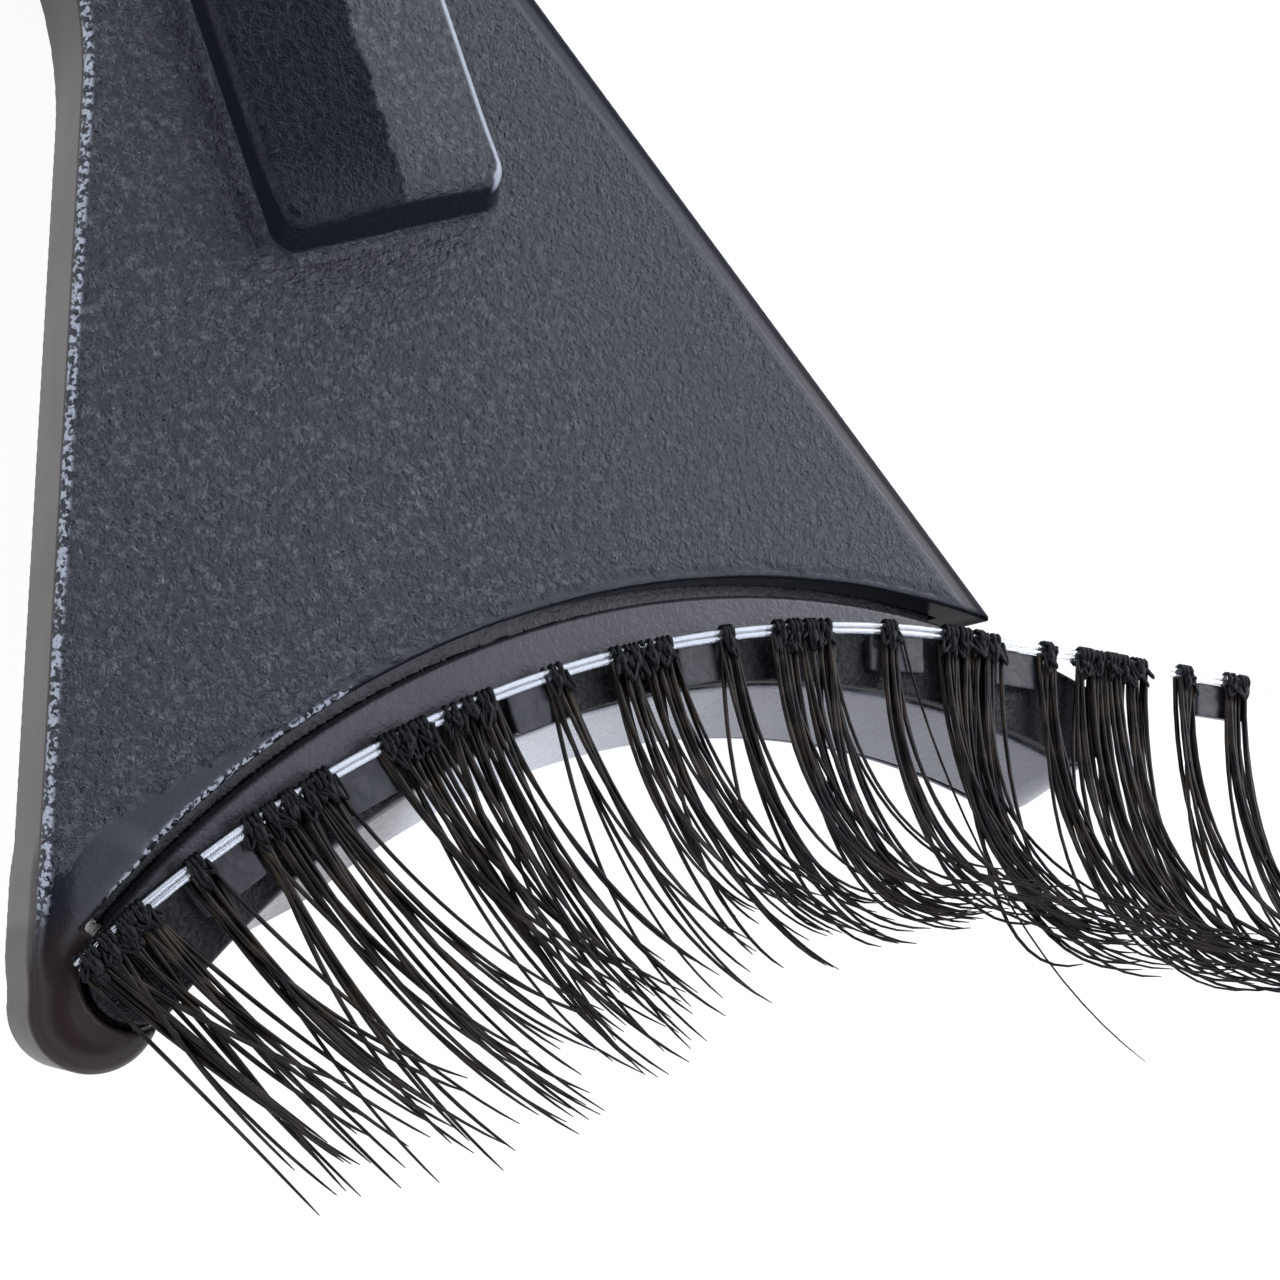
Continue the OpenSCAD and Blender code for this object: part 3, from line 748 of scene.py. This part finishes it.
def spring():
    """One torsion spring: its coil and lower leg stay with the lower lever."""
    coil_r, wire, turns, half, leg_x = 1.6, 0.35, 7, 3.0, 3.8
    rise, reach = MID - TAIL_T - wire - 0.05 - coil_r, 13.0

    def leg(side):
        root_y, tip_y = JAW_REACH + 0.2, JAW_REACH + 0.2 + reach * 0.985
        root_z, tip_z = MID + side * coil_r, MID + side * (coil_r + rise)
        return [(side * leg_x, root_y + (tip_y - root_y) * t, root_z + (tip_z - root_z) * t)
                for t in np.linspace(0, 1, 12)]

    coil = []
    for t in np.linspace(0, turns - 0.25, turns * 36):
        a = 2 * math.pi * t
        coil.append((-half + 2 * half * t / turns, JAW_REACH + coil_r * math.cos(a), MID + coil_r * math.sin(a)))
    lower = joined("spring_coil_wire", [sweep(coil, wire, 12, up=(1, 0, 0)), sweep(leg(-1), wire, 12)])
    finish_piece(lower, SPRING_STEEL, "lower", "spring_steel", "spring_coil", "spring_lower_leg")
    upper = joined("spring_upper_wire", [sweep(leg(1), wire, 12)])
    finish_piece(upper, SPRING_STEEL, "upper", "spring_steel", "spring_upper_leg")


# Where the knots sit along the band: the first one's place, and how many follow it
KNOT_GROUPS = ((0.35, 4), (3.6, 1), (5.4, 5), (9.5, 3), (11.4, 3), (14.5, 1), (16.5, 4), (20.1, 1),
               (21.8, 4), (25.6, 1), (27.7, 4), (31.3, 1), (32.7, 5), (36.7, 1), (38.6, 2))
KNOT_STEP = 0.52


def knot_places(rng):
    places = []
    for start, count in KNOT_GROUPS:
        for i in range(count):
            places.append((start + KNOT_STEP * i + rng.uniform(-0.06, 0.06), count))
    return places


def lash_band():
    radii = np.full(160, 0.088)
    radii[0] = radii[-1] = 0.05
    threads = []
    for out in (-0.086, 0.086):
        path = [band_point(s, out) for s in np.linspace(0, BAND_LENGTH, 160)]
        threads.append(sweep(path, radii, 12, squash=1.3))
    ob = joined("lash_band_thread", threads)
    finish_piece(ob, CLEAR, "lash", "clear_band", "lash_band")


def knots(places, rng):
    """Each knot is a tangle: turns of thread round the band, loose loops and a tied heart."""
    parts = []
    for s, count in places:
        turns = rng.choice((2, 3, 3))
        width = rng.uniform(0.3, 0.5)
        phase = rng.uniform(0, 6.28)
        size = rng.uniform(0.2, 0.27)
        forward, along = band_axes(s)
        path = []
        for t in np.linspace(0, 1, turns * 10 + 1):
            a = phase + 2 * math.pi * turns * t
            p = band_point(s + width * (t - 0.5))
            path.append(p + forward * size * math.cos(a) + np.array((0, 0, size * math.sin(a))))
        parts.append(sweep(path, 0.075, 6, up=tuple(along)))
        for _ in range(4 if count > 2 else 2):
            start, end = s + rng.uniform(-0.3, 0.3), s + rng.uniform(-0.3, 0.3)
            depth, rise, slip = rng.uniform(0.3, 0.75), rng.uniform(0.05, 0.35), rng.uniform(-0.4, 0.4)
            path = []
            for t in np.linspace(0, 1, 9):
                bow = math.sin(math.pi * t)
                p = band_point(start + (end - start) * t + slip * bow)
                path.append(p + forward * depth * bow + np.array((0, 0, 0.1 + rise * bow)))
            parts.append(sweep(path, rng.uniform(0.05, 0.07), 6))
        start = band_point(s) - forward * 0.12
        length = rng.uniform(0.55, 0.85)
        path = [start + forward * length * t + np.array((0, 0, 0.06 + 0.1 * math.sin(3 * t)))
                for t in np.linspace(0, 1, 8)]
        heart = rng.uniform(0.14, 0.2) * np.sqrt(np.clip(1 - (2 * np.linspace(0.03, 0.97, 8) - 1) ** 2, 0, 1))
        parts.append(sweep(path, heart, 8))
    ob = joined("lash_knot_threads", parts)
    finish_piece(ob, KNOT, "lash", "knot_glue", "lash_knots")


def reach_at(s):
    """How far forward the hair reaches, s along the band."""
    return float(np.interp(s, (0, 3, 7, 12, 18, 24, 30, 40), (6.6, 8.6, 9.6, 9.3, 8.6, 8.0, 9.3, 9.3)))


def sweep_at(s):
    """How far the hair leans along the band by its tips."""
    return float(np.interp(s, (0, 6, 12, 17, 22, 28, 34, 40), (-0.2, 0.9, 0.5, 0.8, 2.0, 3.0, 3.4, 3.4)))


def strand(s, spread, reach, lift, curl, thick, rng):
    """One hair: forward from its knot, curling up and along, tapering to its tip."""
    forward, along = band_axes(s)
    root = band_point(s, -0.15, BAND_Z + rng.uniform(-0.1, 0.15))
    bend = rng.uniform(-0.2, 0.2)
    turn = float(np.interp(s, (0, 14, 22, 40), (0.95, 1.1, 1.6, 1.7))) * curl
    path, radii = [], []
    for t in np.linspace(0, 1, 17):
        out = reach * math.sin(turn * t) / math.sin(min(turn, 1.57))
        rise = lift * (1 - math.cos(turn * t)) / (1 - math.cos(turn))
        side = spread * t**1.1 + sweep_at(s) * t**2.2 + bend * math.sin(3.1 * t)
        path.append(root + forward * out + along * side + np.array((0, 0, rise)))
        radii.append(thick * (1 - t) ** 0.4 + 0.012)
    return sweep(path, radii, 6)


def hair(places, rng):
    """The strands of all knots, in one mesh for each of the four stretches of the lash."""
    stretches = {"inner": [], "middle": [], "outer": [], "end": []}
    limits = (("inner", 9.2), ("middle", 18.7), ("outer", 28.4), ("end", 99))
    for s, count in places:
        stretch = next(n for n, end in limits if s < end)
        lean = rng.gauss(0, 0.45)
        extra = 2 if s > 18 else 0
        for _ in range(extra + (rng.randint(5, 7) if count > 1 else rng.randint(8, 10))):
            spread = lean + rng.gauss(0, float(np.interp(s, (0, 18, 26), (0.75, 0.5, 0.35))))
            if rng.random() < 0.14:
                spread += rng.choice((-1.8, 1.5))
            low = 0.78 if s < 18 else 0.87
            reach = reach_at(s) * rng.uniform(low, 1.05)
            lift = (HAIR_TOP - BAND_Z - 0.3) * rng.uniform(low - 0.04, 1.0)
            stretches[stretch].append(
                strand(s + rng.uniform(-0.34, 0.34), spread, reach, lift,
                       rng.uniform(0.92, 1.05), rng.uniform(0.05, 0.074), rng))
    # One stray hair hangs loose
    stretches["outer"].append(strand(26.0, 4.6, 12.4, 1.4, 0.62, 0.032, rng))
    for name, parts in stretches.items():
        ob = joined("lash_hair_" + name + "_strands", parts)
        finish_piece(ob, HAIR, "lash", "lash_hair", "lash_hair_" + name)


def lash():
    """The strip lash, all of it drawn from one fixed seed."""
    rng = random.Random(11)
    places = knot_places(rng)
    lash_band()
    knots(places, rng)
    hair(places, rng)
    for i in range(1, 8):
        ob = plain(f"lash_magnet_{i}", LASH_MAGNET)
        ease(ob, 0.09)


def ease(ob, width):
    """Rounds a CAD piece's sharp edges."""
    weld = ob.modifiers.new("weld", "WELD")
    weld.merge_threshold = 1e-6
    bevel = ob.modifiers.new("bevel", "BEVEL")
    bevel.width = width * MM
    bevel.segments = 3
    bevel.limit_method = "ANGLE"
    bevel.harden_normals = False


# ---------------------------------------------------------------- camera, floor and light
def camera():
    """The photo's viewpoint: where it looks, from how far, and how far it is turned."""
    azimuth, elevation, roll = (math.radians(v) for v in (-92.7, 61.6, 73.74))
    aim, distance = Vector((2.41, -38.85, 10.92)) * MM, 54.36 * MM
    back = Vector((math.sin(azimuth) * math.cos(elevation), -math.cos(azimuth) * math.cos(elevation),
                   math.sin(elevation)))
    right = Vector((math.cos(azimuth), math.sin(azimuth), 0))
    up = back.cross(right)
    turned_right = math.cos(roll) * right + math.sin(roll) * up
    turned_up = -math.sin(roll) * right + math.cos(roll) * up
    m = Matrix((turned_right, turned_up, back)).transposed().to_4x4()
    m.translation = aim + back * distance
    lens = bpy.data.cameras.new("camera")
    lens.lens = 57.32
    lens.sensor_width = 36
    lens.clip_start = 0.001
    ob = bpy.data.objects.new("camera", lens)
    bpy.context.scene.collection.objects.link(ob)
    ob.matrix_world = m
    bpy.context.scene.camera = ob


def floor():
    """A plain white floor, bright by itself so that it shows no lamp."""
    mesh = bpy.data.meshes.new("floor")
    mesh.from_pydata([(-2, -2, 0), (2, -2, 0), (2, 2, 0), (-2, 2, 0)], [], [(0, 1, 2, 3)])
    ob = bpy.data.objects.new("floor", mesh)
    bpy.context.scene.collection.objects.link(ob)
    m, _, shader = nodes_of("floor_white", (0.15, 0.15, 0.15), 0.9)
    shader.inputs["Emission Color"].default_value = (1, 1, 1, 1)
    shader.inputs["Emission Strength"].default_value = 0.9
    shader.inputs["Specular IOR Level"].default_value = 0.0
    mesh.materials.append(m)


def world():
    """A soft room: a wide window on the +X side, a pale horizon, and dark elsewhere."""
    w = bpy.data.worlds.new("studio")
    bpy.context.scene.world = w
    w.use_nodes = True
    tree = w.node_tree
    coord = add(tree, "ShaderNodeTexCoord")
    split = add(tree, "ShaderNodeSeparateXYZ")
    tree.links.new(coord.outputs["Generated"], split.inputs[0])
    window = ramp(tree, split.outputs[0], 0.06, 0.2, 0.02, 3.1)
    horizon = ramp(tree, split.outputs[2], 0.45, 0.75, 3.2, 0.0)
    tree.links.new(math_node(tree, "MAXIMUM", window, horizon),
                   tree.nodes["Background"].inputs["Strength"])
    tree.nodes["Background"].inputs["Color"].default_value = (0.78, 0.845, 1.0, 1)


def lamp(name, place_mm, target_mm, size, power, colour):
    light = bpy.data.lights.new(name, "AREA")
    light.shape = "RECTANGLE"
    light.size, light.size_y = size[0] * MM, size[1] * MM
    light.energy = power
    light.color = colour
    ob = bpy.data.objects.new(name, light)
    bpy.context.scene.collection.objects.link(ob)
    at, to = Vector(place_mm) * MM, Vector(target_mm) * MM
    ob.location = at
    ob.rotation_euler = (to - at).to_track_quat("-Z", "Y").to_euler()


def light():
    world()
    lamp("key", (260, -20, 230), (0, -20, 8), (120, 160), 0.35, (1.0, 0.99, 0.97))


camera()
levers()
inserts()
hinge()
spring()
lash()
floor()
light()
bpy.context.scene.view_settings.view_transform = "Standard"
